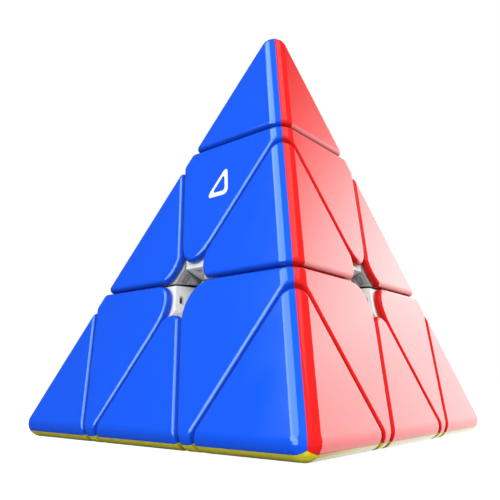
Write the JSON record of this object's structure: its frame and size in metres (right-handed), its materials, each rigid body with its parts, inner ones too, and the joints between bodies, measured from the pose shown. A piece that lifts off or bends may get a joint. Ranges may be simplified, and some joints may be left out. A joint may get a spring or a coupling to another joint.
{
  "type": "pyramid twisty puzzle",
  "caption": "Tetrahedral twisty puzzle with coloured shells on white and grey frames; corner layers and tips turn about its four corner axes.",
  "frame": {"origin": "middle of the core, where the four turning axes meet", "axes": "+Z through the top corner, square to the yellow side; -Y towards the front corner"},
  "size_m": [0.0972, 0.0853, 0.0803],
  "materials": {
    "blue_plastic": "glossy, fine moulded grain",
    "red_plastic": "glossy, fine moulded grain",
    "green_plastic": "glossy, fine moulded grain",
    "yellow_plastic": "glossy, fine moulded grain",
    "white_plastic": "satin moulded",
    "grey_plastic": "satin moulded",
    "core_plastic": "matt moulded",
    "steel": "zinc-plated"
  },
  "bodies": {
    "core": {"core_spider": "core_plastic", "top_screw": "steel", "top_spring": "steel", "left_screw": "steel", "left_spring": "steel", "front_screw": "steel", "front_spring": "steel", "right_screw": "steel", "right_spring": "steel"},
    "top_layer": {"top_centre_frame": "white_plastic", "top_centre_blue_shell": "blue_plastic", "top_centre_red_shell": "red_plastic", "top_centre_green_shell": "green_plastic"},
    "left_layer": {"left_centre_frame": "white_plastic", "left_centre_blue_shell": "blue_plastic", "left_centre_green_shell": "green_plastic", "left_centre_yellow_shell": "yellow_plastic"},
    "front_layer": {"front_centre_frame": "white_plastic", "front_centre_blue_shell": "blue_plastic", "front_centre_red_shell": "red_plastic", "front_centre_yellow_shell": "yellow_plastic"},
    "right_layer": {"right_centre_frame": "white_plastic", "right_centre_red_shell": "red_plastic", "right_centre_green_shell": "green_plastic", "right_centre_yellow_shell": "yellow_plastic"},
    "top_tip": {"top_tip_frame": "white_plastic", "top_tip_blue_shell": "blue_plastic", "top_tip_red_shell": "red_plastic", "top_tip_green_shell": "green_plastic"},
    "left_tip": {"left_tip_frame": "white_plastic", "left_tip_blue_shell": "blue_plastic", "left_tip_green_shell": "green_plastic", "left_tip_yellow_shell": "yellow_plastic"},
    "front_tip": {"front_tip_frame": "white_plastic", "front_tip_blue_shell": "blue_plastic", "front_tip_red_shell": "red_plastic", "front_tip_yellow_shell": "yellow_plastic"},
    "right_tip": {"right_tip_frame": "white_plastic", "right_tip_red_shell": "red_plastic", "right_tip_green_shell": "green_plastic", "right_tip_yellow_shell": "yellow_plastic"},
    "top_left_edge": {"top_left_edge_frame": "grey_plastic", "top_left_edge_blue_shell": "blue_plastic", "top_left_edge_green_shell": "green_plastic"},
    "top_front_edge": {"top_front_edge_frame": "grey_plastic", "top_front_edge_blue_shell": "blue_plastic", "top_front_edge_red_shell": "red_plastic"},
    "top_right_edge": {"top_right_edge_frame": "grey_plastic", "top_right_edge_red_shell": "red_plastic", "top_right_edge_green_shell": "green_plastic"},
    "left_front_edge": {"left_front_edge_frame": "grey_plastic", "left_front_edge_blue_shell": "blue_plastic", "left_front_edge_yellow_shell": "yellow_plastic"},
    "left_right_edge": {"left_right_edge_frame": "grey_plastic", "left_right_edge_green_shell": "green_plastic", "left_right_edge_yellow_shell": "yellow_plastic"},
    "front_right_edge": {"front_right_edge_frame": "grey_plastic", "front_right_edge_red_shell": "red_plastic", "front_right_edge_yellow_shell": "yellow_plastic"}
  },
  "joints": [
    {"name": "top_layer_turn", "type": "hinge", "parent": "core", "child": "top_layer", "pos_m": [0, 0, 0], "axis": [0, 0, 1], "range_deg": [-240, 120]},
    {"name": "left_layer_turn", "type": "hinge", "parent": "core", "child": "left_layer", "pos_m": [0, 0, 0], "axis": [-0.8165, 0.4714, -0.3333], "range_deg": [-240, 120]},
    {"name": "front_layer_turn", "type": "hinge", "parent": "core", "child": "front_layer", "pos_m": [0, 0, 0], "axis": [0, -0.9428, -0.3333], "range_deg": [-240, 120]},
    {"name": "right_layer_turn", "type": "hinge", "parent": "core", "child": "right_layer", "pos_m": [0, 0, 0], "axis": [0.8165, 0.4714, -0.3333], "range_deg": [-240, 120]},
    {"name": "top_tip_turn", "type": "hinge", "parent": "top_layer", "child": "top_tip", "pos_m": [0, 0, 0], "axis": [0, 0, 1], "continuous": true},
    {"name": "left_tip_turn", "type": "hinge", "parent": "left_layer", "child": "left_tip", "pos_m": [0, 0, 0], "axis": [-0.8165, 0.4714, -0.3333], "continuous": true},
    {"name": "front_tip_turn", "type": "hinge", "parent": "front_layer", "child": "front_tip", "pos_m": [0, 0, 0], "axis": [0, -0.9428, -0.3333], "continuous": true},
    {"name": "right_tip_turn", "type": "hinge", "parent": "right_layer", "child": "right_tip", "pos_m": [0, 0, 0], "axis": [0.8165, 0.4714, -0.3333], "continuous": true},
    {"name": "top_left_edge_turn", "type": "hinge", "parent": "top_layer", "child": "top_left_edge", "pos_m": [0, 0, 0], "axis": [-0.8165, 0.4714, -0.3333], "range_deg": [-240, 120]},
    {"name": "top_front_edge_turn", "type": "hinge", "parent": "top_layer", "child": "top_front_edge", "pos_m": [0, 0, 0], "axis": [0, -0.9428, -0.3333], "range_deg": [-240, 120]},
    {"name": "top_right_edge_turn", "type": "hinge", "parent": "top_layer", "child": "top_right_edge", "pos_m": [0, 0, 0], "axis": [0.8165, 0.4714, -0.3333], "range_deg": [-240, 120]},
    {"name": "left_front_edge_turn", "type": "hinge", "parent": "left_layer", "child": "left_front_edge", "pos_m": [0, 0, 0], "axis": [0, -0.9428, -0.3333], "range_deg": [-240, 120]},
    {"name": "left_right_edge_turn", "type": "hinge", "parent": "right_layer", "child": "left_right_edge", "pos_m": [0, 0, 0], "axis": [-0.8165, 0.4714, -0.3333], "range_deg": [-240, 120]},
    {"name": "front_right_edge_turn", "type": "hinge", "parent": "front_layer", "child": "front_right_edge", "pos_m": [0, 0, 0], "axis": [0.8165, 0.4714, -0.3333], "range_deg": [-240, 120]}
  ],
  "couplings": [
    {"joint": "top_left_edge_turn", "follows": "left_layer_turn", "ratio": 1},
    {"joint": "top_front_edge_turn", "follows": "front_layer_turn", "ratio": 1},
    {"joint": "top_right_edge_turn", "follows": "right_layer_turn", "ratio": 1},
    {"joint": "left_front_edge_turn", "follows": "front_layer_turn", "ratio": 1},
    {"joint": "left_right_edge_turn", "follows": "left_layer_turn", "ratio": 1},
    {"joint": "front_right_edge_turn", "follows": "right_layer_turn", "ratio": 1}
  ]
}
